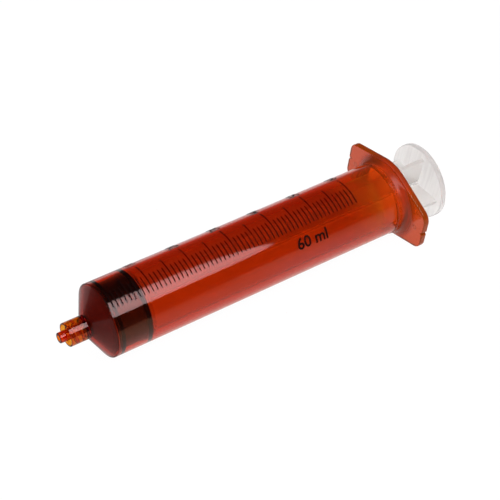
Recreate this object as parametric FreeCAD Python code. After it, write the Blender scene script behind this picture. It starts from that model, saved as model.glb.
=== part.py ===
"""Luer lock syringe of 50/60 ml, lying on its side with the plunger pushed in, in millimetres.

The origin is the centre of the luer tip's end face. +X runs along the axis from the tip to the
thumb disc, and +Z is up as the syringe lies, with one long edge of the finger flange level.
Angles about the axis are in degrees, counted from +Y towards +Z.
"""

import FreeCAD, Part
import math
import os

from FreeCAD import Vector

# Barrel tube
bore_radius = 13.3
barrel_wall = 1.05
bore_lead_in = 0.7
bead_height = 0.3
bead_length = 1.6
bead_gap = 0.3

# Luer tip and its lock collar
tip_protrusion = 2.95
tip_end_radius = 1.985
tip_taper = 0.03
tip_edge_rounding = 0.3
passage_radius = 1.1
collar_length = 7.65
collar_outer_radius = 4.55
collar_recess_depth = 6.6
collar_edge_rounding = 0.2
thread_major_radius = 4.0
thread_minor_radius = 3.5
thread_lead = 5.0
thread_starts = 2
thread_root_width = 1.0
thread_crest_width = 0.5
thread_setback = 0.9
thread_length = 4.4
thread_bite = 0.1

# Conical nose
nose_slope = 30.0
nose_wall = 1.3
nose_root_rounding = 0.6
shoulder_rounding = 0.8

# Printed scale
scale_volume = 60
volume_step = 1
medium_every = 5
long_every = 10
zero_line_setback = 0.4
scale_edge_angle = 138.0
short_line_length = 7.1
medium_line_length = 11.1
long_line_length = 13.3
line_width = 0.4
ink_thickness = 0.04

# Finger flange and neck
flange_gap = 20.9
flange_thickness = 2.45
flange_reach = 9.65
flange_apex_reach = 2.55
flange_end_half_width = 8.2
flange_apex_rounding = 15.3
flange_corner_rounding = 4.5
flange_edge_rounding = 0.5
neck_length = 4.2
neck_step = 0.25
neck_rounding = 2.8
notch_radius = 0.8

# Rubber stopper
seat_gap = 0.12
rib_clearance = 0.03
rib_rounding = 0.3
stopper_tip_radius = 1.6
stopper_land_relief = 0.55
stopper_groove_relief = 0.7
front_rib_setback = 1.2
front_rib_width = 1.8
rear_rib_setback = 12.2
rear_rib_width = 2.0
stopper_length = 14.4
stroke_spare = 1.5

# Plunger rod and the socket that holds its head
shank_radius = 6.0
head_radius = 8.4
head_tip_radius = 4.0
head_land = 2.2
head_cone_length = 4.6
socket_lip = 3.0
socket_clearance = 0.08
support_disc_clearance = 0.6
support_disc_thickness = 1.3
support_gap = 0.1
vane_clearance = 0.7
vane_thickness = 1.8
vane_angle = 22.0
thumb_gap = 13.75
thumb_disc_radius = 15.25
thumb_disc_thickness = 2.3
disc_edge_rounding = 0.4
grip_groove_pitch = 3.2
grip_groove_radius = 0.7
grip_groove_depth = 0.3
grip_margin = 2.0

# Sizes and places that follow from the ones above
barrel_radius = bore_radius + barrel_wall
slope = math.radians(nose_slope)
millilitre = 1000.0
line_pitch = millilitre * volume_step / (math.pi * bore_radius ** 2)
line_count = scale_volume // volume_step
scale_length = line_count * line_pitch

collar_rim_x = tip_protrusion
recess_floor_x = collar_rim_x + collar_recess_depth
nose_root_x = collar_rim_x + collar_length
shoulder_x = nose_root_x + (barrel_radius - collar_outer_radius) * math.tan(slope)
zero_x = shoulder_x + zero_line_setback
flange_front_x = zero_x + scale_length + flange_gap
flange_rear_x = flange_front_x + flange_thickness
neck_x = flange_front_x - neck_length
neck_radius = barrel_radius + neck_step
flange_half_length = barrel_radius + flange_reach
flange_apex_half_width = barrel_radius + flange_apex_reach

stroke = scale_length + stroke_spare
stopper_rear_x = zero_x + stopper_length
bead_front_x = stopper_rear_x + stroke + bead_gap
bead_rear_x = bead_front_x + bead_length

support_front_x = stopper_rear_x + support_gap
support_rear_x = support_front_x + support_disc_thickness
support_disc_radius = bore_radius - support_disc_clearance
vane_half_width = bore_radius - vane_clearance
thumb_front_x = flange_rear_x + thumb_gap
thumb_rear_x = thumb_front_x + thumb_disc_thickness

flange_turn = math.degrees(
    math.atan2(flange_apex_half_width - flange_end_half_width, flange_half_length)
)

AXIS_START = Vector(0, 0, 0)
AXIS = Vector(1, 0, 0)
TINY = 1e-6


def rounded_wire(corners):
    """Closed wire through (point, rounding) corners, with a tangent arc at each rounded one."""
    stretches = []
    for index, (corner, rounding) in enumerate(corners):
        before = corners[index - 1][0] - corner
        after = corners[(index + 1) % len(corners)][0] - corner
        before.normalize()
        after.normalize()
        half_angle = before.getAngle(after) / 2
        if rounding == 0 or half_angle > math.pi / 2 - TINY:
            stretches.append((corner, None, corner))
            continue
        reach = rounding / math.tan(half_angle)
        inward = before + after
        inward.normalize()
        middle = corner + inward * (rounding / math.sin(half_angle) - rounding)
        stretches.append((corner + before * reach, middle, corner + after * reach))
    edges = []
    for index, (start, middle, end) in enumerate(stretches):
        if middle is not None:
            edges.append(Part.Arc(start, middle, end).toShape())
        next_start = stretches[(index + 1) % len(stretches)][0]
        if (next_start - end).Length > TINY:
            edges.append(Part.LineSegment(end, next_start).toShape())
    return Part.Wire(edges)


def turned(corners):
    """Solid of revolution about the axis, from (x, radius, rounding) corners of its section."""
    section = [(Vector(x, 0, radius), rounding) for x, radius, rounding in corners]
    return Part.Face(rounded_wire(section)).revolve(AXIS_START, AXIS, 360)


def turn_about_axis(shape, degrees):
    """Copy of a shape, turned about the syringe's axis."""
    copy = shape.copy()
    copy.rotate(AXIS_START, AXIS, degrees)
    return copy


def outer_nose_x(radius):
    """Place of the outside of the conical nose at a radius."""
    return nose_root_x + (radius - collar_outer_radius) * math.tan(slope)


def inner_nose_x(radius, extra_gap=0.0):
    """Place of the inside of the conical nose at a radius, moved in by a gap."""
    return outer_nose_x(radius) + (nose_wall + extra_gap) / math.cos(slope)


def tip_radius(x):
    """Radius of the luer taper, which is 6 percent on the diameter."""
    return tip_end_radius + tip_taper * x


def flange_outline(x, margin=0.0):
    """Rounded hexagon of the finger flange, with one long lower edge level."""
    half_length = flange_half_length - margin
    apex = flange_apex_half_width - margin
    end = flange_end_half_width - margin
    corners = [
        (half_length, end, flange_corner_rounding),
        (0, apex, flange_apex_rounding),
        (-half_length, end, flange_corner_rounding),
        (-half_length, -end, flange_corner_rounding),
        (0, -apex, flange_apex_rounding),
        (half_length, -end, flange_corner_rounding),
    ]
    wire = rounded_wire([(Vector(x, y, z), rounding) for y, z, rounding in corners])
    wire.rotate(AXIS_START, AXIS, flange_turn)
    return Part.Face(wire)


def finger_flange():
    """Flat plate of the flange with rounded rims and a mould notch in the middle of each end."""
    plate = flange_outline(flange_front_x).extrude(AXIS * flange_thickness)
    rims = [
        edge
        for edge in plate.Edges
        if abs(edge.BoundBox.XMax - edge.BoundBox.XMin) < TINY
    ]
    plate = plate.makeFillet(flange_edge_rounding, rims)
    for side in (1, -1):
        notch = Part.makeCylinder(
            notch_radius, flange_thickness, Vector(flange_front_x, side * flange_half_length, 0), AXIS
        )
        plate = plate.cut(turn_about_axis(notch, flange_turn))
    return plate


def neck():
    """Thicker end of the tube that flares into the flange, inside the flange's outline."""
    flare_radius = neck_radius + neck_rounding
    inner_radius = bore_radius + barrel_wall / 2
    flare_root_x = flange_front_x + flange_thickness / 2
    flare = turned(
        [
            (neck_x, inner_radius, 0),
            (neck_x, neck_radius, neck_step / 2),
            (flange_front_x, neck_radius, neck_rounding),
            (flange_front_x, flare_radius + neck_step, 0),
            (flare_root_x, flare_radius + neck_step, 0),
            (flare_root_x, inner_radius, 0),
        ]
    )
    envelope = flange_outline(neck_x - neck_step, flange_edge_rounding)
    return flare.common(envelope.extrude(AXIS * (flare_root_x - neck_x + 2 * neck_step)))


def luer_thread():
    """Ridges of the lock thread on the inside of the collar."""
    root_radius = thread_major_radius + thread_bite
    helix = Part.makeHelix(thread_lead, thread_length, thread_major_radius)
    section = Part.makePolygon(
        [
            Vector(root_radius, 0, -thread_root_width / 2),
            Vector(thread_minor_radius, 0, -thread_crest_width / 2),
            Vector(thread_minor_radius, 0, thread_crest_width / 2),
            Vector(root_radius, 0, thread_root_width / 2),
            Vector(root_radius, 0, -thread_root_width / 2),
        ]
    )
    ridge = Part.Wire(helix).makePipeShell([section], True, True)
    ridge.rotate(AXIS_START, Vector(0, 1, 0), 90)
    ridge.translate(AXIS * (collar_rim_x + thread_setback))
    return [turn_about_axis(ridge, 360 * start / thread_starts) for start in range(thread_starts)]


def barrel():
    """Amber moulding: luer tip, lock collar, nose, tube, neck and finger flange."""
    bead_middle_x = (bead_front_x + bead_rear_x) / 2
    body = turned(
        [
            (0, passage_radius, tip_edge_rounding / 3),
            (0, tip_radius(0), tip_edge_rounding),
            (recess_floor_x, tip_radius(recess_floor_x), tip_edge_rounding),
            (recess_floor_x, thread_major_radius, tip_edge_rounding),
            (collar_rim_x, thread_major_radius, collar_edge_rounding),
            (collar_rim_x, collar_outer_radius, collar_edge_rounding),
            (nose_root_x, collar_outer_radius, nose_root_rounding),
            (shoulder_x, barrel_radius, shoulder_rounding),
            (flange_rear_x, barrel_radius, 0),
            (flange_rear_x, bore_radius + bore_lead_in, 0),
            (flange_rear_x - bore_lead_in, bore_radius, 0),
            (bead_rear_x, bore_radius, bead_height),
            (bead_middle_x, bore_radius - bead_height, bead_height),
            (bead_front_x, bore_radius, bead_height),
            (inner_nose_x(bore_radius), bore_radius, shoulder_rounding),
            (inner_nose_x(passage_radius), passage_radius, tip_edge_rounding),
        ]
    )
    bore_space = Part.makeCylinder(
        bore_radius + barrel_wall / 2, flange_thickness, Vector(flange_front_x, 0, 0), AXIS
    )
    body = body.fuse(finger_flange().cut(bore_space))
    body = body.fuse(neck())
    for ridge in luer_thread():
        body = body.fuse(ridge)
    return body.removeSplitter()


def scale_print():
    """Ink lines on the barrel, one each millilitre, all starting at the same generator."""
    lines = []
    for index in range(line_count + 1):
        volume = index * volume_step
        if volume % long_every == 0:
            length = long_line_length
        elif volume % medium_every == 0:
            length = medium_line_length
        else:
            length = short_line_length
        span = math.degrees(length / barrel_radius)
        middle_x = zero_x + index * line_pitch
        section = Part.Face(
            Part.makePolygon(
                [
                    Vector(middle_x - line_width / 2, 0, barrel_radius),
                    Vector(middle_x + line_width / 2, 0, barrel_radius),
                    Vector(middle_x + line_width / 2, 0, barrel_radius + ink_thickness),
                    Vector(middle_x - line_width / 2, 0, barrel_radius + ink_thickness),
                    Vector(middle_x - line_width / 2, 0, barrel_radius),
                ]
            )
        )
        section = turn_about_axis(section, scale_edge_angle - span - 90)
        lines.append(section.revolve(AXIS_START, AXIS, span))
    return Part.makeCompound(lines)


def head_section(gap):
    """Section of the rod's head from the support disc forwards, grown by a gap on all sides."""
    lip_x = stopper_rear_x - socket_lip
    head_rear_x = lip_x - socket_clearance + gap
    cone_x = lip_x - socket_clearance - head_land
    tip_x = cone_x - head_cone_length - gap
    return [
        (tip_x, 0, 0),
        (tip_x, head_tip_radius + gap, disc_edge_rounding),
        (cone_x, head_radius + gap, disc_edge_rounding),
        (head_rear_x, head_radius + gap, disc_edge_rounding),
        (head_rear_x, shank_radius + gap, 0),
    ]


def stopper():
    """Rubber piston with two sealing ribs and a socket for the rod's head."""
    land_radius = bore_radius - stopper_land_relief
    groove_radius = bore_radius - stopper_groove_relief
    rib_radius = bore_radius - rib_clearance
    front_rib_x = zero_x + front_rib_setback
    rear_rib_x = zero_x + rear_rib_setback
    tip_x = inner_nose_x(stopper_tip_radius, seat_gap)
    body = turned(
        [
            (tip_x, 0, 0),
            (tip_x, stopper_tip_radius, rib_rounding),
            (inner_nose_x(land_radius, seat_gap), land_radius, rib_rounding),
            (front_rib_x, land_radius, 0),
            (front_rib_x, rib_radius, rib_rounding),
            (front_rib_x + front_rib_width, rib_radius, rib_rounding),
            (front_rib_x + front_rib_width, groove_radius, 0),
            (rear_rib_x, groove_radius, 0),
            (rear_rib_x, rib_radius, rib_rounding),
            (rear_rib_x + rear_rib_width, rib_radius, rib_rounding),
            (rear_rib_x + rear_rib_width, land_radius, 0),
            (stopper_rear_x, land_radius, 0),
            (stopper_rear_x, 0, 0),
        ]
    )
    socket = turned(
        head_section(socket_clearance)
        + [
            (stopper_rear_x + support_gap, shank_radius + socket_clearance, 0),
            (stopper_rear_x + support_gap, 0, 0),
        ]
    )
    return body.cut(socket)


def plunger_rod():
    """Clear moulding: head, support disc, four vanes and the thumb disc with its grip grooves."""
    head = turned(head_section(0.0) + [(support_rear_x, shank_radius, 0), (support_rear_x, 0, 0)])
    support_disc = turned(
        [
            (support_front_x, 0, 0),
            (support_front_x, support_disc_radius, disc_edge_rounding),
            (support_rear_x, support_disc_radius, disc_edge_rounding),
            (support_rear_x, 0, 0),
        ]
    )
    thumb_disc = turned(
        [
            (thumb_front_x, 0, 0),
            (thumb_front_x, thumb_disc_radius, disc_edge_rounding),
            (thumb_rear_x, thumb_disc_radius, disc_edge_rounding),
            (thumb_rear_x, 0, 0),
        ]
    )
    groove_reach = thumb_disc_radius - grip_margin
    groove_axis_x = thumb_rear_x + grip_groove_radius - grip_groove_depth
    pairs = int((groove_reach - grip_groove_pitch / 2) // grip_groove_pitch) + 1
    for index in range(pairs):
        offset = (index + 0.5) * grip_groove_pitch
        half_chord = math.sqrt(groove_reach ** 2 - offset ** 2)
        for side in (1, -1):
            groove = Part.makeCylinder(
                grip_groove_radius,
                2 * half_chord,
                Vector(groove_axis_x, side * offset, -half_chord),
                Vector(0, 0, 1),
            )
            thumb_disc = thumb_disc.cut(turn_about_axis(groove, vane_angle))
    vane_length = thumb_front_x - support_rear_x + thumb_disc_thickness / 2
    vane = Part.makeBox(
        vane_length,
        2 * vane_half_width,
        vane_thickness,
        Vector(support_rear_x - support_disc_thickness / 2, -vane_half_width, -vane_thickness / 2),
    )
    rod = head.fuse(support_disc).fuse(thumb_disc)
    for quarter in (0, 90):
        rod = rod.fuse(turn_about_axis(vane, vane_angle + quarter))
    return rod.removeSplitter()


NODES = {
    "barrel": barrel,
    "scale_print": scale_print,
    "stopper": stopper,
    "plunger_rod": plunger_rod,
}

os.makedirs("parts", exist_ok=True)
for node, make in NODES.items():
    shape = make()
    shape.exportStep("parts/" + node + ".step")
    print(node, "valid", shape.isValid(), "solids", len(shape.Solids), "volume", round(shape.Volume, 1))
print("stroke", round(stroke, 3), "overall length", round(thumb_rear_x, 3))
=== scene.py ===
"""Looks of a 60 ml luer lock syringe: amber barrel, printed scale, rubber stopper and clear plunger.

Lengths are in millimetres until a mesh is finished, which brings it to metres. The materials work
in millimetres too, apart from their noise, whose scale counts per metre, or per millimetre for the
brushed streaks. The camera and the lamps are placed in metres.

The origin is the centre of the luer tip's end face, +X runs to the thumb disc, and angles about
the axis run from +Y towards +Z. A name that ends in _X is a place along the axis, and a round
form's plain name, such as BARREL, is its radius.
"""

import math

import bmesh
import bpy
from mathutils import Matrix, Vector
from mathutils.bvhtree import BVHTree


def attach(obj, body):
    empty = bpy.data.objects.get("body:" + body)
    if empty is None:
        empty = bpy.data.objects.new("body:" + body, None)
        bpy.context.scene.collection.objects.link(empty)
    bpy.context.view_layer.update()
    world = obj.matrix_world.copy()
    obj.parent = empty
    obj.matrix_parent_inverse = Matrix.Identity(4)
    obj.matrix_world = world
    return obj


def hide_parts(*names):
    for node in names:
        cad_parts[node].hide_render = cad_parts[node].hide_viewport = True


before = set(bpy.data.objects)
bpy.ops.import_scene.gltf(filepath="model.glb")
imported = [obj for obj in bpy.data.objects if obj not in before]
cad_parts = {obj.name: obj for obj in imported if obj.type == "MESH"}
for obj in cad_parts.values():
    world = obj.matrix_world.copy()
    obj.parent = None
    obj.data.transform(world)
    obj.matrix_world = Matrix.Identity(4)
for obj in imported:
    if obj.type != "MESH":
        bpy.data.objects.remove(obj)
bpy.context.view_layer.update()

MM = 0.001
AXIS = Vector((1, 0, 0))
MERGE_DISTANCE = 1e-4
SHARP_ANGLE = math.radians(38)

# Barrel
BORE = 13.3
BARREL = 14.35
PASSAGE = 1.1
TIP_END = 1.985
TIP_ROOT = 2.2715
COLLAR = 4.55
COLLAR_RIM_X = 2.95
RECESS_FLOOR_X = 9.55
NOSE_ROOT_X = 10.6
SHOULDER_X = 16.258
INNER_NOSE_X = 17.153
INNER_PASSAGE_X = 10.11
BEAD_FRONT_X = 140.83
BEAD_REAR_X = 142.43
BEAD_HEIGHT = 0.3
BORE_LEAD_IN = 0.7
BARREL_STEPS = 480

# Lock thread inside the collar
THREAD_ROOT = 4.0
THREAD_HEIGHT = 0.5
THREAD_LEAD = 5.0
THREAD_STARTS = 2
THREAD_START_X = 3.85
THREAD_LENGTH = 4.4
THREAD_CREST = 0.25
THREAD_FOOT = 0.5
THREAD_RINGS = 46
THREAD_RUNOUT = 24.0

# Neck and finger flange
NECK_X = 141.327
NECK = 14.6
NECK_ROUNDING = 2.8
FLANGE_FRONT_X = 145.527
FLANGE_REAR_X = 147.977
FLANGE_HALF_LENGTH = 24.0
FLANGE_APEX = 16.9
FLANGE_END = 8.2
FLANGE_APEX_ROUNDING = 15.3
FLANGE_CORNER_ROUNDING = 4.5
FLANGE_RIM_ROUNDING = 0.5
FLANGE_TURN = math.atan2(FLANGE_APEX - FLANGE_END, FLANGE_HALF_LENGTH)
FLANGE_BLANK = 26.0
RIM_ZONE = 1.0
NOTCH = 0.8

# Amber plastic: the colour that two of its faces let through, and where it holds along the axis, with a
# ring of painted shade where the cone meets the tube
AMBER_TIP = (0.92, 0.42, 0.2, 1)
AMBER_COLLAR = (0.85, 0.60, 0.35, 1)
AMBER_CONE = (0.74, 0.46, 0.44, 1)
AMBER_SHOULDER_PAINTED_SHADE = (0.30, 0.16, 0.15, 1)
AMBER_TUBE = (0.89, 0.50, 0.45, 1)
AMBER_FADE = (0.93, 0.48, 0.40, 1)
AMBER_NECK = (0.84, 0.17, 0.22, 1)
AMBER_FLANGE = (1.0, 0.9, 0.8, 1)
AMBER_ALONG = [
    (2.9, AMBER_TIP),
    (3.8, AMBER_COLLAR),
    (10.4, AMBER_COLLAR),
    (11.6, AMBER_CONE),
    (15.7, AMBER_CONE),
    # painted shade: a darker ring where the cone meets the tube
    (16.1, AMBER_SHOULDER_PAINTED_SHADE),
    (16.5, AMBER_SHOULDER_PAINTED_SHADE),
    (17.0, AMBER_TUBE),
    (125.0, AMBER_TUBE),
    (130.0, AMBER_FADE),
    (133.0, AMBER_FADE),
    (136.0, AMBER_NECK),
]
AMBER_FLOW_MARK = (0.62, 0.4, 0.35, 1)
AMBER_MOULD_MARK = (0.12, 0.02, 0.01, 1)
AMBER_SOAK = (0.955, 0.7375, 0.0, 1)
AMBER_SOAK_DENSITY = 4000.0
HAZE_COLOURS = (0.95, 0.17, 0.012, 1), (0.86, 0.14, 0.01, 1)
HAZE_CONE = (0.95, 0.03, 0.015, 1)
HAZE_FILLET_PAINTED_SHADE = (0.42, 0.055, 0.003, 1)

# Where the amber finish changes, as the start and the end of each change
THREAD_FRONT_ZONE = (3.1, 3.5)
THREAD_REAR_ZONE = (9.3, 9.6)
THREAD_INNER_ZONE = (2.6, 3.0)
THREAD_OUTER_ZONE = (4.2, 4.4)
CONE_FRONT_ZONE = (10.8, 11.4)
CONE_REAR_ZONE = (16.0, 16.8)
NECK_HAZE_ZONE = (112.0, 134.0)
FILLET_FRONT_ZONE = (141.2, 142.0)
FILLET_INNER_ZONE = (14.3, 14.7)
FILLET_OUTER_ZONE = (16.0, 18.6)
PLATE_FRONT_ZONE = (144.0, 145.2)
PLATE_INNER_ZONE = (16.8, 19.0)
PLATE_HAZE_ZONE = (144.0, 145.4)

# Mould marks, which are small rings on the front of the flange
MARK_REACH = 19.3
MARK_INNER_ZONE = (0.5, 0.8)
MARK_OUTER_ZONE = (0.9, 1.2)
MARK_FRONT_ZONE = (144.0, 144.5)
MARK_REAR_ZONE = (146.2, 146.6)

# Printed scale
INK_FOOT = -0.01
INK_TOP = 0.038
ZERO_X = 16.658
LINE_PITCH = 1.7995
LINE_COUNT = 60
LINE_WIDTH = 0.42
SCALE_EDGE = math.radians(138)
SHORT_LINE, MEDIUM_LINE, LONG_LINE = 7.1, 11.1, 13.3
CAPITAL_SHARE = 0.73
FIGURE_HEIGHT = 4.2
FIGURE_WEIGHT = 0.03
FIGURE_ANGLE = math.radians(66)
READ_TIP_UP = Matrix(((0, -1, 0), (-1, 0, 0), (0, 0, 1)))
SIZE_WORDS = "60 ml"
SIZE_HEIGHT = 4.5
SIZE_WEIGHT = 0.12
SIZE_ANGLE = math.radians(162)
SIZE_X = 101.5
READ_ALONG = Matrix(((1, 0, 0), (0, -1, 0), (0, 0, 1)))
WRAP_STEP = 0.5

# Stopper
STOPPER_TIP_X = 10.536
STOPPER_TIP = 1.6
STOPPER_CONE_X = 16.975
STOPPER_REAR_X = 31.058
RIB = 13.34
LAND = 12.75
GROOVE = 12.6
FRONT_RIB_X = 17.858
FRONT_RIB_REAR_X = 19.658
REAR_RIB_X = 28.858
REAR_RIB_REAR_X = 30.858
STOPPER_STEPS = 256

# Plunger rod
HEAD_CLEARANCE = 0.08
HEAD_TIP_X = 21.178
HEAD_TIP = 4.0
HEAD_X = 25.778
HEAD = 8.4
HEAD_REAR_X = 27.978
SHANK = 6.0
SUPPORT_FRONT_X = 31.158
SUPPORT_REAR_X = 32.458
SUPPORT = 12.7
VANE_REACH = 12.6
VANE_HALF = 0.9
VANE_TURN = math.radians(22)
THUMB_FRONT_X = 161.727
THUMB_REAR_X = 164.027
THUMB = 15.25
THUMB_RING = THUMB - 0.7
ROD_STEPS = 256

# Shallow grooves in the thumb disc's rear face
DISC_GROOVES = 8
DISC_GROOVE_PITCH = 3.2
DISC_GROOVE_REACH = 13.25
DISC_GROOVE_HALF = 0.575
DISC_GROOVE_DEPTH = 0.3
DISC_GROOVE_SLOPE = 0.35

# Clear plastic
CLEAR_COLOURS = (0.985, 0.985, 0.955, 1), (0.95, 0.95, 0.92, 1)
CLEAR_STREAK = (0.80, 0.785, 0.775, 1)
CLEAR_RIM_PAINTED_SHADE = (0.68, 0.67, 0.66, 1)
BRUSH_STRETCH = 0.06
DISC_ZONE = (160.0, 161.5)
DISC_RIM_ZONE = (14.7, 15.1)
VANE_ZONE = (128.0, 150.0)

# Table, which touches the nose and the flange, with the painted amber light that is seen mirrored in
# front, and painted shade round the nose
TABLE_HALF = 4000
TABLE_X = 16.7
TABLE_DROP = 14.39
FLANGE_FOOT_X = 146.5
FLANGE_FOOT = 15.87
TABLE_START, TABLE_END = -180.0, 90.0
TABLE_PAINTED_AMBER_LIGHT = [
    (-180.0, (0.88, 0.88, 0.88, 1)),
    (-50.0, (1.0, 1.0, 1.0, 1)),
    (2.0, (1.0, 0.95, 0.92, 1)),
    (6.0, (1.0, 0.87, 0.82, 1)),
    (14.0, (1.0, 0.74, 0.69, 1)),
    (26.0, (0.98, 0.62, 0.46, 1)),
    (44.0, (0.95, 0.50, 0.32, 1)),
    (61.0, (0.90, 0.36, 0.19, 1)),
    (85.0, (0.75, 0.22, 0.10, 1)),
]
TABLE_PAINTED_SHADE = (0.004, 0.003, 0.003, 1)
TABLE_EDGE = Vector((-0.4208, -0.9071))
TABLE_EDGE_ZONE = (44.0, 45.8)
TABLE_GLOW = 1.03
TABLE_GLOW_SHARE = 0.95

# Camera, with its place in metres
CAMERA_PLACE = (-0.174551, -0.440155, 0.311316)
CAMERA_RIGHT = Vector((0.82681933, -0.55331323, -0.1010656))
CAMERA_UP = Vector((0.36204467, 0.38602744, 0.84847302))
SENSOR = 36
LENS = 114.59
LENS_SHIFT = 0.001

# Lamps
SOFTBOX_COLOUR = (1.38, 1.05, 1.06, 1)
SOFTBOX_SQUARENESS = 6

WHITE = (1, 1, 1, 1)
BLACK = (0, 0, 0, 1)


# Shader maths


class Value:
    """Output of a shader node that takes part in plain arithmetic."""

    def __init__(self, finish, socket):
        self.finish = finish
        self.socket = socket

    def maths(self, operation, *values):
        return self.finish.node("ShaderNodeMath", {"operation": operation}, dict(enumerate(values)))

    def __add__(self, other):
        return self.maths("ADD", self, other)

    def __sub__(self, other):
        return self.maths("SUBTRACT", self, other)

    def __rsub__(self, other):
        return self.maths("SUBTRACT", other, self)

    def __mul__(self, other):
        return self.maths("MULTIPLY", self, other)

    def __truediv__(self, other):
        return self.maths("DIVIDE", self, other)

    def __pow__(self, other):
        return self.maths("POWER", self, other)

    __radd__ = __add__
    __rmul__ = __mul__

    def most(self, other):
        return self.maths("MAXIMUM", self, other)

    def size(self):
        return self.maths("ABSOLUTE", self)

    def step(self, start, end):
        """Smooth rise from 0 at start to 1 at end."""
        return self.finish.node(
            "ShaderNodeMapRange",
            {"interpolation_type": "SMOOTHSTEP"},
            {"Value": self, "From Min": start, "From Max": end},
        )


class Finish:
    """Node tree of a material, a lamp or the world."""

    def __init__(self, owner):
        owner.use_nodes = True
        self.tree = owner.node_tree
        self.tree.nodes.clear()

    def node(self, kind, settings=None, inputs=None, output=0):
        """One node, with its inputs set to constants or linked to values; returns one output."""
        node = self.tree.nodes.new(kind)
        for name, value in (settings or {}).items():
            if name == "stops":
                ramp = node.color_ramp
                while len(ramp.elements) < len(value):
                    ramp.elements.new(0.5)
                for element, (place, colour) in zip(ramp.elements, value):
                    element.position = place
                    element.color = colour
            else:
                setattr(node, name, value)
        for name, value in (inputs or {}).items():
            if isinstance(value, Value):
                self.tree.links.new(value.socket, node.inputs[name])
            else:
                node.inputs[name].default_value = value
        return Value(self, node.outputs[output]) if node.outputs else None

    def blend(self, factor, first, second):
        """Colour between two colours."""
        return self.node(
            "ShaderNodeMix",
            {"data_type": "RGBA"},
            {0: factor, 6: first, 7: second},
            output=2,
        )

    def ramp(self, value, start, end, stops):
        """Colour that changes along a value, from stops of (value, colour) between start and end."""
        places = [((place - start) / (end - start), colour) for place, colour in stops]
        return self.node("ShaderNodeValToRGB", {"stops": places}, {0: (value - start) / (end - start)})

    def place(self, output="Object"):
        return self.node("ShaderNodeTexCoord", output=output)

    def parts(self, vector):
        return [self.node("ShaderNodeSeparateXYZ", {}, {0: vector}, output=axis) for axis in range(3)]

    def millimetres(self):
        """Place along the axis and towards +Y and +Z, in millimetres."""
        return [part / MM for part in self.parts(self.place())]

    def ray(self, kind):
        """1 for one kind of light ray, such as Camera or Diffuse, and 0 for the others."""
        return self.node("ShaderNodeLightPath", output=f"Is {kind} Ray")

    def noise(self, vector, scale, detail):
        return self.node("ShaderNodeTexNoise", {}, {"Vector": vector, "Scale": scale, "Detail": detail})

    def bump(self, height, strength, depth):
        return self.node(
            "ShaderNodeBump", {}, {"Height": height, "Strength": strength, "Distance": depth * MM}
        )

    def principled(self, inputs):
        return self.node("ShaderNodeBsdfPrincipled", {}, inputs)

    def emission(self, colour, strength):
        return self.node("ShaderNodeEmission", {}, {"Color": colour, "Strength": strength})

    def finished(self, **sockets):
        self.node("ShaderNodeOutputMaterial", {}, sockets)


def new_material(name):
    material = bpy.data.materials.new(name)
    return material, Finish(material)


def mould_marks(along, y, z):
    """1 on the two small rings of the flange, one on each wing."""
    span = (y * math.cos(FLANGE_TURN) + z * math.sin(FLANGE_TURN)).size() - MARK_REACH
    rise = z * math.cos(FLANGE_TURN) - y * math.sin(FLANGE_TURN)
    distance = (span * span + rise * rise) ** 0.5
    ring = distance.step(*MARK_INNER_ZONE) - distance.step(*MARK_OUTER_ZONE)
    return ring * along.step(*MARK_FRONT_ZONE) * (1 - along.step(*MARK_REAR_ZONE))


def amber_plastic():
    """Glossy see-through amber polypropylene that soaks up green and blue in its thickness, with
    painted shade at the shoulder ring and in the neck fillet.
    """
    material, finish = new_material("amber_plastic")
    place = finish.place()
    flow = finish.noise(place, 70.0, 2.0)
    grain = finish.noise(place, 900.0, 2.0)
    along, y, z = finish.millimetres()
    radius = (y * y + z * z) ** 0.5
    thread = along.step(*THREAD_FRONT_ZONE) * (1 - along.step(*THREAD_REAR_ZONE))
    thread = thread * radius.step(*THREAD_INNER_ZONE) * (1 - radius.step(*THREAD_OUTER_ZONE))
    cone = along.step(*CONE_FRONT_ZONE) * (1 - along.step(*CONE_REAR_ZONE))
    fillet = along.step(*FILLET_FRONT_ZONE) * radius.step(*FILLET_INNER_ZONE)
    fillet = fillet * (1 - radius.step(*FILLET_OUTER_ZONE))
    plate = along.step(*PLATE_FRONT_ZONE) * radius.step(*PLATE_INNER_ZONE)
    mark = mould_marks(along, y, z)

    tint = finish.ramp(along, 0, FLANGE_REAR_X, AMBER_ALONG)
    tint = finish.blend(plate, tint, AMBER_FLANGE)
    tint = finish.blend(flow.step(0.35, 0.75) * 0.08, tint, AMBER_FLOW_MARK)
    tint = finish.blend(mark, tint, AMBER_MOULD_MARK)
    clear = finish.principled(
        {
            "Base Color": tint,
            "Roughness": 0.012 + 0.02 * grain + 0.14 * thread + 0.3 * fillet,
            "IOR": 1.49,
            "Transmission Weight": 1.0,
            "Normal": finish.bump(flow * 0.1 + mark, 0.2, 0.2),
        }
    )

    matt_tint = finish.blend(flow, *HAZE_COLOURS)
    matt_tint = finish.blend(cone, matt_tint, HAZE_CONE)
    # painted shade: a darker matt haze in the fillet between the neck and the flange
    matt_tint = finish.blend(fillet, matt_tint, HAZE_FILLET_PAINTED_SHADE)
    haze = finish.principled(
        {"Base Color": matt_tint, "Roughness": 0.25 + 0.1 * grain, "Specular IOR Level": 0.0}
    )
    share = 0.12 * along.step(*NECK_HAZE_ZONE) + 0.12 * along.step(*PLATE_HAZE_ZONE)
    share = share + 0.04 * cone + 0.2 * fillet
    surface = finish.node("ShaderNodeMixShader", {}, {0: share, 1: clear, 2: haze})
    soak = finish.node(
        "ShaderNodeVolumeAbsorption", {}, {"Color": AMBER_SOAK, "Density": AMBER_SOAK_DENSITY}
    )
    finish.finished(Surface=surface, Volume=soak)
    return material


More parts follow.
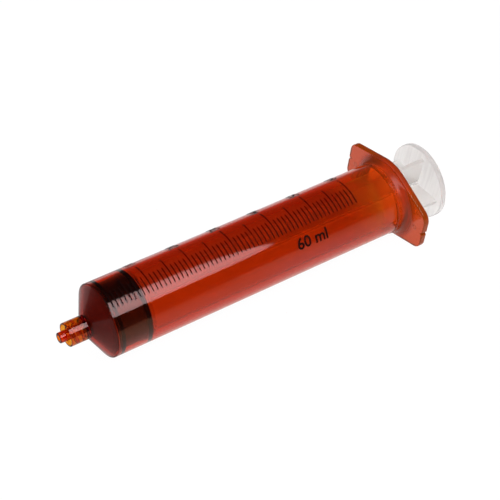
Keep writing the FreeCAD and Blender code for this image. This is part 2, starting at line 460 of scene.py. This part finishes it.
def black_ink():
    """Matt ink with a fine speckle."""
    material, finish = new_material("scale_ink")
    speckle = finish.noise(finish.place(), 2600.0, 2.0)
    surface = finish.principled(
        {
            "Base Color": finish.blend(
                speckle.step(0.45, 0.8), (0.008, 0.001, 0.001, 1), (0.016, 0.003, 0.003, 1)
            ),
            "Roughness": 0.5 + 0.2 * speckle,
            "Specular IOR Level": 0.08,
        }
    )
    finish.finished(Surface=surface)
    return material


def black_rubber():
    """Soft dark rubber with a cloudy sheen and a fine grain."""
    material, finish = new_material("stopper_rubber")
    place = finish.place()
    cloud = finish.noise(place, 240.0, 4.0)
    grain = finish.noise(place, 4200.0, 2.0)
    surface = finish.principled(
        {
            "Base Color": finish.blend(cloud, (0.003, 0.002, 0.002, 1), (0.008, 0.006, 0.006, 1)),
            "Roughness": 0.42 + 0.2 * cloud,
            "Specular IOR Level": 0.25,
            "Normal": finish.bump(grain, 0.25, 0.04),
        }
    )
    finish.finished(Surface=surface)
    return material


def clear_plastic():
    """Slightly milky polypropylene, with streaks and painted shade on the thumb disc's rim."""
    material, finish = new_material("clear_plastic")
    place = finish.place()
    flow = finish.noise(place, 90.0, 3.0)
    grain = finish.noise(place, 1400.0, 3.0)
    along, y, z = finish.millimetres()
    across = z * math.cos(VANE_TURN) - y * math.sin(VANE_TURN)
    length = y * math.cos(VANE_TURN) + z * math.sin(VANE_TURN)
    brushed = finish.node(
        "ShaderNodeCombineXYZ", {}, {0: length, 1: across * BRUSH_STRETCH, 2: along * BRUSH_STRETCH}
    )
    disc = along.step(*DISC_ZONE)
    streak = finish.noise(brushed, 0.7, 2.0).step(0.42, 0.62) * disc
    inner, outer = DISC_RIM_ZONE
    rim = (y * y + z * z).step(inner ** 2, outer ** 2) * disc
    milky = finish.blend(flow, *CLEAR_COLOURS)
    streaked = finish.blend(streak * 0.8, milky, CLEAR_STREAK)
    surface = finish.principled(
        {
            # painted shade: the thumb disc's rim is greyer
            "Base Color": finish.blend(rim, streaked, CLEAR_RIM_PAINTED_SHADE),
            "Roughness": 0.34 + 0.06 * grain,
            "IOR": 1.49,
            "Transmission Weight": 0.86,
            "Alpha": 0.5 + 0.12 * along.step(*VANE_ZONE),
            "Normal": finish.bump(flow, 0.04, 0.2),
        }
    )
    finish.finished(Surface=surface)
    return material


# Mesh helpers


def verts_of(items):
    return [item for item in items if isinstance(item, bmesh.types.BMVert)]


def rounded_wire(bm, corners, closed=True, hold=0.15, segments=5):
    """Wire through (place, rounding) corners, with an arc and two support points at each rounding."""
    places = [Vector(place) for place, rounding in corners]
    count = len(corners)
    inner = range(count) if closed else range(1, count - 1)
    reaches = [0.0] * count
    for index in inner:
        before = places[index - 1] - places[index]
        after = places[(index + 1) % count] - places[index]
        reaches[index] = corners[index][1] / math.tan(before.angle(after) / 2)
    verts, sharp = [], []
    for index, place in enumerate(places):
        before = places[index - 1] - place
        after = places[(index + 1) % count] - place
        reach = reaches[index]
        if reach and before.length > reach + reaches[index - 1] + 2 * hold:
            verts.append(bm.verts.new(place + before.normalized() * (reach + hold)))
        corner = bm.verts.new(place)
        verts.append(corner)
        if reach:
            sharp.append((corner, reach))
        if reach and after.length > reach + reaches[(index + 1) % count] + 2 * hold:
            verts.append(bm.verts.new(place + after.normalized() * (reach + hold)))
    for first, second in zip(verts, verts[1:] + verts[:1] * closed):
        bm.edges.new((first, second))
    for corner, reach in sharp:
        bmesh.ops.bevel(
            bm,
            geom=[corner],
            offset=reach,
            offset_type="OFFSET",
            segments=segments,
            profile=0.5,
            affect="VERTICES",
            material=-1,
        )


def turned_wire(bm, corners, **settings):
    """Profile of a turned form, through corners of (place along the axis, radius, rounding)."""
    rounded_wire(bm, [((x, 0, radius), rounding) for x, radius, rounding in corners], **settings)


def spin_all(bm, steps, sectors=16):
    """Turns all that a mesh holds once round the axis: one sector is spun, and then copied round."""
    bmesh.ops.spin(
        bm,
        geom=bm.verts[:] + bm.edges[:],
        cent=(0, 0, 0),
        axis=AXIS,
        dvec=(0, 0, 0),
        angle=2 * math.pi / sectors,
        steps=steps // sectors,
    )
    sector = bm.verts[:] + bm.edges[:] + bm.faces[:]
    for index in range(1, sectors):
        copy = bmesh.ops.duplicate(bm, geom=sector)["geom"]
        bmesh.ops.rotate(
            bm,
            cent=(0, 0, 0),
            matrix=Matrix.Rotation(2 * math.pi * index / sectors, 3, "X"),
            verts=verts_of(copy),
        )
    bmesh.ops.remove_doubles(bm, verts=bm.verts, dist=MERGE_DISTANCE)


def fill_flat(bm, edges):
    """Faces across loops that lie in a plane square to the axis."""
    bmesh.ops.triangle_fill(bm, use_beauty=True, edges=edges, normal=AXIS)


def finish_piece(bm, name, node, body, material):
    """Object from a finished mesh, riding on its body in place of its CAD node."""
    bmesh.ops.remove_doubles(bm, verts=bm.verts, dist=MERGE_DISTANCE)
    bmesh.ops.dissolve_degenerate(bm, edges=bm.edges, dist=MERGE_DISTANCE)
    bmesh.ops.recalc_face_normals(bm, faces=bm.faces)
    bmesh.ops.scale(bm, vec=(MM, MM, MM), verts=bm.verts)
    for face in bm.faces:
        face.smooth = True
    mesh = bpy.data.meshes.new(name)
    bm.to_mesh(mesh)
    bm.free()
    mesh.set_sharp_from_angle(angle=SHARP_ANGLE)
    mesh.materials.append(material)
    piece = bpy.data.objects.new(name, mesh)
    bpy.context.scene.collection.objects.link(piece)
    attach(piece, body)
    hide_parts(node)


def polar(place):
    """Radius and angle of a place about the axis."""
    return math.hypot(place.y, place.z), math.atan2(place.z, place.y)


def set_radius(vert, radius):
    old = math.hypot(vert.co.y, vert.co.z)
    vert.co.y *= radius / old
    vert.co.z *= radius / old


# Barrel


def flange_wall():
    """Thin wall on the flange's outline, to measure how far it reaches in any direction."""
    bm = bmesh.new()
    corners = [
        (FLANGE_HALF_LENGTH, FLANGE_END, FLANGE_CORNER_ROUNDING),
        (0, FLANGE_APEX, FLANGE_APEX_ROUNDING),
        (-FLANGE_HALF_LENGTH, FLANGE_END, FLANGE_CORNER_ROUNDING),
        (-FLANGE_HALF_LENGTH, -FLANGE_END, FLANGE_CORNER_ROUNDING),
        (0, -FLANGE_APEX, FLANGE_APEX_ROUNDING),
        (FLANGE_HALF_LENGTH, -FLANGE_END, FLANGE_CORNER_ROUNDING),
    ]
    rounded_wire(bm, [((-1, y, z), rounding) for y, z, rounding in corners], segments=24)
    grown = bmesh.ops.extrude_edge_only(bm, edges=bm.edges[:])["geom"]
    bmesh.ops.translate(bm, vec=2 * AXIS, verts=verts_of(grown))
    bmesh.ops.rotate(bm, cent=(0, 0, 0), matrix=Matrix.Rotation(FLANGE_TURN, 3, "X"), verts=bm.verts)
    tree = BVHTree.FromBMesh(bm)
    bm.free()
    return tree


def flange_reach(wall, angle, margin):
    """Distance from the axis to the flange's outline, drawn in by a margin."""
    ray = Vector((0, math.cos(angle), math.sin(angle)))
    place, normal, index, distance = wall.ray_cast(Vector((0, 0, 0)), ray)
    return distance - margin / abs(normal.dot(ray))


def notch_depth(radius, angle):
    """How far the round notches at the flange's two ends cut in at a place on its rim."""
    for notch in (FLANGE_TURN, FLANGE_TURN + math.pi):
        offset = radius * math.sin(angle - notch)
        if abs(offset) < NOTCH and math.cos(angle - notch) > 0:
            return math.sqrt(NOTCH ** 2 - offset ** 2)
    return 0.0


def thread_height(x, angle):
    """Height of the lock thread's ridges over the collar's inner wall."""
    height = 0.0
    span = 360 * THREAD_LENGTH / THREAD_LEAD
    for start in range(THREAD_STARTS):
        turn = (math.degrees(angle) + 90 - 360 * start / THREAD_STARTS) % 360
        across = abs(x - THREAD_START_X - THREAD_LEAD * turn / 360)
        flank = (THREAD_FOOT - across) / (THREAD_FOOT - THREAD_CREST)
        end = min(turn, span - turn) / THREAD_RUNOUT
        height = max(height, THREAD_HEIGHT * min(1, max(0, flank)) * min(1, max(0, end)))
    return height


def build_barrel(material):
    """Turned barrel, whose flange is then drawn in to its outline and whose collar gets its thread."""
    bm = bmesh.new()
    turned_wire(
        bm,
        [
            (0, PASSAGE, 0.1),
            (0, TIP_END, 0.3),
            (RECESS_FLOOR_X, TIP_ROOT, 0.3),
            (RECESS_FLOOR_X, THREAD_ROOT, 0.3),
            (COLLAR_RIM_X, THREAD_ROOT, 0.2),
            (COLLAR_RIM_X, COLLAR, 0.2),
            (NOSE_ROOT_X, COLLAR, 0.6),
            (SHOULDER_X, BARREL, 0.4),
            (NECK_X, BARREL, 0.1),
            (NECK_X, NECK, 0.12),
            (FLANGE_FRONT_X, NECK, NECK_ROUNDING),
            (FLANGE_FRONT_X, FLANGE_BLANK, FLANGE_RIM_ROUNDING),
            (FLANGE_REAR_X, FLANGE_BLANK, FLANGE_RIM_ROUNDING),
            (FLANGE_REAR_X, BORE + BORE_LEAD_IN, 0.15),
            (FLANGE_REAR_X - BORE_LEAD_IN, BORE, 0.2),
            (BEAD_REAR_X, BORE, BEAD_HEIGHT),
            ((BEAD_FRONT_X + BEAD_REAR_X) / 2, BORE - BEAD_HEIGHT, BEAD_HEIGHT),
            (BEAD_FRONT_X, BORE, BEAD_HEIGHT),
            (INNER_NOSE_X, BORE, 0.8),
            (INNER_PASSAGE_X, PASSAGE, 0.3),
        ],
    )
    thread_wall = [
        edge
        for edge in bm.edges
        if edge.calc_length() > THREAD_LENGTH / 2
        and all(abs(vert.co.z - THREAD_ROOT) < MERGE_DISTANCE for vert in edge.verts)
    ]
    bmesh.ops.subdivide_edges(bm, edges=thread_wall, cuts=THREAD_RINGS)
    spin_all(bm, BARREL_STEPS)

    wall = flange_wall()
    margin = 0.01
    flare_end = NECK + NECK_ROUNDING + 0.2
    for vert in bm.verts:
        radius, angle = polar(vert.co)
        x = vert.co.x
        if x > FLANGE_FRONT_X - margin and radius > FLANGE_BLANK - RIM_ZONE:
            reach = flange_reach(wall, angle, FLANGE_BLANK - radius)
            set_radius(vert, reach - notch_depth(reach, angle))
        elif NECK_X < x < FLANGE_FRONT_X + margin and radius > NECK:
            crowd = 0.02 * (flare_end - radius)
            limit = flange_reach(wall, angle, FLANGE_RIM_ROUNDING + 0.2) - crowd
            set_radius(vert, min(radius, limit))
        elif COLLAR_RIM_X < x < RECESS_FLOOR_X and abs(radius - THREAD_ROOT) < margin:
            set_radius(vert, radius - thread_height(x, angle))
    finish_piece(bm, "amber_barrel", "barrel", "barrel", material)


# Print


def add_mesh(bm, mesh):
    """Moves a mesh's content into another one."""
    bm.from_mesh(mesh)
    bpy.data.meshes.remove(mesh)


def add_words(bm, words, height, weight, turn, angle, x):
    """Flat words with capitals of a height, centred at an angle and a place along the barrel."""
    curve = bpy.data.curves.new("lettering", "FONT")
    curve.body = words
    curve.align_x = "CENTER"
    curve.align_y = "CENTER"
    curve.size = height / CAPITAL_SHARE
    curve.offset = weight
    curve.extrude = (INK_TOP - INK_FOOT) / 2
    curve.resolution_u = 6
    holder = bpy.data.objects.new("lettering", curve)
    bpy.context.scene.collection.objects.link(holder)
    bpy.context.view_layer.update()
    mesh = bpy.data.meshes.new_from_object(holder.evaluated_get(bpy.context.evaluated_depsgraph_get()))
    bpy.data.objects.remove(holder)
    bpy.data.curves.remove(curve)
    place = Matrix.Translation((x, BARREL * angle, (INK_TOP + INK_FOOT) / 2))
    mesh.transform(place @ turn.to_4x4())
    add_mesh(bm, mesh)


def build_print(material):
    """Scale lines, their figures and the size, laid flat as (along, round, out) and then wrapped."""
    bm = bmesh.new()
    middle = (INK_TOP + INK_FOOT) / 2
    for volume in range(LINE_COUNT + 1):
        length = LONG_LINE if volume % 10 == 0 else MEDIUM_LINE if volume % 5 == 0 else SHORT_LINE
        place = Vector((ZERO_X + volume * LINE_PITCH, BARREL * SCALE_EDGE - length / 2, middle))
        size = Matrix.Diagonal((LINE_WIDTH, length, INK_TOP - INK_FOOT, 1))
        bmesh.ops.create_cube(bm, size=1, matrix=Matrix.Translation(place) @ size)
    for volume in range(10, LINE_COUNT + 1, 10):
        x = ZERO_X + volume * LINE_PITCH
        add_words(bm, str(volume), FIGURE_HEIGHT, FIGURE_WEIGHT, READ_TIP_UP, FIGURE_ANGLE, x)
    add_words(bm, SIZE_WORDS, SIZE_HEIGHT, SIZE_WEIGHT, READ_ALONG, SIZE_ANGLE, SIZE_X)

    low = min(vert.co.y for vert in bm.verts)
    high = max(vert.co.y for vert in bm.verts)
    cuts = int((high - low) / WRAP_STEP)
    for cut in range(1, cuts):
        bmesh.ops.bisect_plane(
            bm,
            geom=bm.verts[:] + bm.edges[:] + bm.faces[:],
            plane_co=(0, low + cut * (high - low) / cuts, 0),
            plane_no=(0, 1, 0),
        )
    for vert in bm.verts:
        along, around, out = vert.co
        angle = around / BARREL
        vert.co = (along, (BARREL + out) * math.cos(angle), (BARREL + out) * math.sin(angle))
    finish_piece(bm, "printed_scale", "scale_print", "barrel", material)


# Stopper and plunger


def build_stopper(material):
    """Turned stopper, whose socket takes the rod's head with clearance all round."""
    bm = bmesh.new()
    turned_wire(
        bm,
        [
            (STOPPER_TIP_X, 0, 0),
            (STOPPER_TIP_X, STOPPER_TIP, 0.3),
            (STOPPER_CONE_X, LAND, 0.3),
            (FRONT_RIB_X, LAND, 0.1),
            (FRONT_RIB_X, RIB, 0.3),
            (FRONT_RIB_REAR_X, RIB, 0.3),
            (FRONT_RIB_REAR_X, GROOVE, 0.2),
            (REAR_RIB_X, GROOVE, 0.2),
            (REAR_RIB_X, RIB, 0.3),
            (REAR_RIB_REAR_X, RIB, 0.3),
            (REAR_RIB_REAR_X, LAND, 0.05),
            (STOPPER_REAR_X, LAND, 0.1),
            (STOPPER_REAR_X, SHANK + HEAD_CLEARANCE, 0.2),
            (HEAD_REAR_X + HEAD_CLEARANCE, SHANK + HEAD_CLEARANCE, 0.2),
            (HEAD_REAR_X + HEAD_CLEARANCE, HEAD + HEAD_CLEARANCE, 0.3),
            (HEAD_X, HEAD + HEAD_CLEARANCE, 0.4),
            (HEAD_TIP_X - HEAD_CLEARANCE, HEAD_TIP + HEAD_CLEARANCE, 0.4),
            (HEAD_TIP_X - HEAD_CLEARANCE, 0, 0),
        ],
        closed=False,
        hold=0.1,
        segments=4,
    )
    spin_all(bm, STOPPER_STEPS)
    finish_piece(bm, "rubber_stopper", "stopper", "stopper", material)


def edge_ring(bm, x, radius):
    """Edges of a mesh that lie on a circle about the axis."""
    near = 1e-3
    return [
        edge
        for edge in bm.edges
        if edge.is_boundary
        and all(
            abs(vert.co.x - x) < near and abs(polar(vert.co)[0] - radius) < near
            for vert in edge.verts
        )
    ]


def flat_loop(bm, x, corners, hold, segments):
    """Rounded loop of (y, z, rounding) corners, turned to the vanes' angle; returns its edges."""
    before = set(bm.edges)
    part = bmesh.new()
    rounded_wire(
        part, [((x, y, z), rounding) for y, z, rounding in corners], hold=hold, segments=segments
    )
    bmesh.ops.rotate(part, cent=(0, 0, 0), matrix=Matrix.Rotation(VANE_TURN, 3, "X"), verts=part.verts)
    mesh = bpy.data.meshes.new("loop")
    part.to_mesh(mesh)
    part.free()
    add_mesh(bm, mesh)
    return [edge for edge in bm.edges if edge not in before]


def add_vanes(bm):
    """Cross of four vanes from the support disc to the thumb disc."""
    cross = []
    for turn in range(4):
        angle = turn * math.pi / 2
        for across, along, rounding in (
            (VANE_HALF, VANE_HALF, 0.5),
            (VANE_HALF, VANE_REACH, 0.3),
            (-VANE_HALF, VANE_REACH, 0.3),
        ):
            y = along * math.cos(angle) - across * math.sin(angle)
            z = along * math.sin(angle) + across * math.cos(angle)
            cross.append((y, z, rounding))
    near_loop = flat_loop(bm, SUPPORT_REAR_X, cross, hold=0.1, segments=3)
    fill_flat(bm, near_loop + edge_ring(bm, SUPPORT_REAR_X, SUPPORT))
    grown = bmesh.ops.extrude_edge_only(bm, edges=near_loop)["geom"]
    moved = verts_of(grown)
    bmesh.ops.translate(bm, vec=AXIS * (THUMB_FRONT_X - SUPPORT_REAR_X), verts=moved)
    far_loop = [
        item
        for item in grown
        if isinstance(item, bmesh.types.BMEdge) and all(vert in moved for vert in item.verts)
    ]
    fill_flat(bm, far_loop + edge_ring(bm, THUMB_FRONT_X, THUMB_RING))


def close_thumb_disc(bm):
    """Rear face of the thumb disc with its shallow grooves, which run across the disc."""
    edges = edge_ring(bm, THUMB_REAR_X, THUMB_RING)
    for index in range(DISC_GROOVES):
        offset = (index - (DISC_GROOVES - 1) / 2) * DISC_GROOVE_PITCH
        half_chord = math.sqrt(DISC_GROOVE_REACH ** 2 - offset ** 2)
        loops = []
        for depth, shrink in ((0, 0), (DISC_GROOVE_DEPTH, DISC_GROOVE_SLOPE)):
            w, h = DISC_GROOVE_HALF - shrink, half_chord - shrink
            corners = [(offset + y, z, 0.9 * w) for y, z in ((w, h), (-w, h), (-w, -h), (w, -h))]
            loops.append(flat_loop(bm, THUMB_REAR_X - depth, corners, hold=0.01, segments=4))
        mouth, floor = loops
        edges += mouth
        bmesh.ops.bridge_loops(bm, edges=mouth + floor)
        fill_flat(bm, floor)
    fill_flat(bm, edges)


def build_rod(material):
    """Turned head, shank, support disc and thumb disc, with the vanes and the grooves."""
    bm = bmesh.new()
    turned_wire(
        bm,
        [
            (HEAD_TIP_X, 0, 0),
            (HEAD_TIP_X, HEAD_TIP, 0.4),
            (HEAD_X, HEAD, 0.4),
            (HEAD_REAR_X, HEAD, 0.4),
            (HEAD_REAR_X, SHANK, 0.3),
            (SUPPORT_FRONT_X, SHANK, 0.2),
            (SUPPORT_FRONT_X, SUPPORT, 0.4),
            (SUPPORT_REAR_X, SUPPORT, 0),
        ],
        closed=False,
        hold=0.1,
    )
    turned_wire(
        bm,
        [
            (THUMB_FRONT_X, THUMB_RING, 0),
            (THUMB_FRONT_X, THUMB, 0.4),
            (THUMB_REAR_X, THUMB, 0.4),
            (THUMB_REAR_X, THUMB_RING, 0),
        ],
        closed=False,
        hold=0.1,
    )
    spin_all(bm, ROD_STEPS)
    add_vanes(bm)
    close_thumb_disc(bm)
    finish_piece(bm, "clear_plunger", "plunger_rod", "plunger_rod", material)


build_barrel(amber_plastic())
build_print(black_ink())
build_stopper(black_rubber())
build_rod(clear_plastic())


# Stage


def studio_world():
    """White surroundings low down behind the object, darker overhead and in front."""
    world = bpy.data.worlds.new("studio")
    bpy.context.scene.world = world
    finish = Finish(world)
    x, y, z = finish.parts(finish.place("Generated"))
    back = y.step(-0.1, 0.35)
    low = (1 - z.step(-0.03, 0.30)) * 0.93 + (1 - z.step(0.2, 0.6)) * 0.07
    side = 0.03 + 0.12 * x.step(-0.95, -0.65) + 0.85 * x.step(0.24, 0.42)
    mirrored = 0.02 + back * low * side
    seen_through = finish.ray("Transmission") * (1 - 0.75 * z.step(0.25, 0.75))
    level = finish.ray("Camera").most(seen_through).most(finish.ray("Diffuse") * 0.45).most(mirrored)
    background = finish.node("ShaderNodeBackground", {}, {"Color": WHITE, "Strength": level})
    finish.node("ShaderNodeOutputWorld", {}, {"Surface": background})


def table_finish():
    """White glow, with painted amber light and painted shade where the syringe mirrors it, and with a
    painted soft shadow where it shows through.
    """
    material, finish = new_material("table")
    x, y, z = finish.millimetres()
    through = finish.ray("Transmission")
    mirrored = finish.ray("Glossy") * (1 - through)

    # Mirrored: painted amber light in front of the syringe, painted shade that makes it dimmer round
    # the nose, and dark past a slanting edge
    forward = y * -1 * (1 - 0.45 * x.step(80, 105))
    amber = finish.ramp(forward, TABLE_START, TABLE_END, TABLE_PAINTED_AMBER_LIGHT)
    edge = 1 - (x * TABLE_EDGE.x + y * TABLE_EDGE.y).step(*TABLE_EDGE_ZONE)
    before = 0.25 + 0.2 * x.step(-40, 12) + 0.55 * x.step(12, 26)
    behind = 0.48 + 0.52 * (x - y * 0.3).step(10, 75)
    level = edge * (before + (behind - before) * y.step(5, 30))
    painted_light_and_shade = finish.blend(level, TABLE_PAINTED_SHADE, amber)

    # Seen through the plastic: a soft shadow behind the syringe
    shadow = through * 0.45 * y.step(34, 44) * (1 - y.step(60, 120)) * (1 - x.step(145, 165))
    open_floor = finish.blend(shadow, WHITE, BLACK)

    glow = finish.emission(finish.blend(mirrored, open_floor, painted_light_and_shade), TABLE_GLOW)
    matt = finish.node("ShaderNodeBsdfDiffuse", {}, {"Color": (0.9, 0.9, 0.9, 1)})
    surface = finish.node("ShaderNodeMixShader", {}, {0: TABLE_GLOW_SHARE, 1: matt, 2: glow})
    finish.finished(Surface=surface)
    return material


def white_table():
    """Glowing table top on which the nose and the flange stand."""
    bm = bmesh.new()
    bmesh.ops.create_grid(bm, x_segments=1, y_segments=1, size=TABLE_HALF * MM)
    tilt = math.atan2(FLANGE_FOOT - BARREL, FLANGE_FOOT_X - TABLE_X)
    place = Matrix.Translation((TABLE_X * MM, 0, -TABLE_DROP * MM)) @ Matrix.Rotation(tilt, 4, "Y")
    bmesh.ops.transform(bm, matrix=place, verts=bm.verts)
    mesh = bpy.data.meshes.new("table")
    bm.to_mesh(mesh)
    bm.free()
    mesh.materials.append(table_finish())
    table = bpy.data.objects.new("table", mesh)
    bpy.context.scene.collection.objects.link(table)


def lamp(name, place, target, width, height, power, mirrored=True):
    """Area lamp that faces a target, unseen by the camera."""
    light = bpy.data.lights.new(name, "AREA")
    light.shape = "RECTANGLE"
    light.size = width
    light.size_y = height
    light.energy = power
    holder = bpy.data.objects.new(name, light)
    holder.location = place
    holder.rotation_euler = (Vector(target) - Vector(place)).to_track_quat("-Z", "Y").to_euler()
    holder.visible_camera = False
    holder.visible_glossy = mirrored
    bpy.context.scene.collection.objects.link(holder)
    return light


def soften(light):
    """Warm light with rounded corners that fades towards the edge of its cloth."""
    finish = Finish(light)
    u, v, w = finish.parts(finish.node("ShaderNodeNewGeometry", output="Parametric"))
    across, down = (u - 0.5).size() * 2, (v - 0.5).size() * 2
    cloth = 1 - (across ** SOFTBOX_SQUARENESS + down ** SOFTBOX_SQUARENESS).step(0.75, 1.0)
    fade = 1.2 - 0.45 * (across ** 2 + down ** 2).step(0.2, 1.6)
    glow = finish.emission(SOFTBOX_COLOUR, cloth * fade)
    finish.node("ShaderNodeOutputLight", {}, {"Surface": glow})


def camera():
    """Camera at the photograph's place."""
    data = bpy.data.cameras.new("camera")
    data.sensor_width = SENSOR
    data.lens = LENS
    data.shift_x = -LENS_SHIFT
    data.shift_y = LENS_SHIFT
    data.clip_start = 0.01
    data.clip_end = 20
    holder = bpy.data.objects.new("camera", data)
    back = CAMERA_RIGHT.cross(CAMERA_UP)
    matrix = Matrix((CAMERA_RIGHT, CAMERA_UP, back)).transposed().to_4x4()
    matrix.translation = CAMERA_PLACE
    holder.matrix_world = matrix
    bpy.context.scene.collection.objects.link(holder)
    bpy.context.scene.camera = holder


studio_world()
white_table()
softbox = lamp(
    "softbox",
    place=(0.167, -0.421, 0.459),
    target=(0.083, -0.01, 0.01),
    width=0.394,
    height=0.525,
    power=2.2,
)
soften(softbox)
lamp(
    "fill",
    place=(-0.55, 0.25, 0.75),
    target=(0.06, 0, 0),
    width=0.6,
    height=0.6,
    power=3.0,
    mirrored=False,
)
camera()

bpy.context.scene.view_settings.view_transform = "Standard"
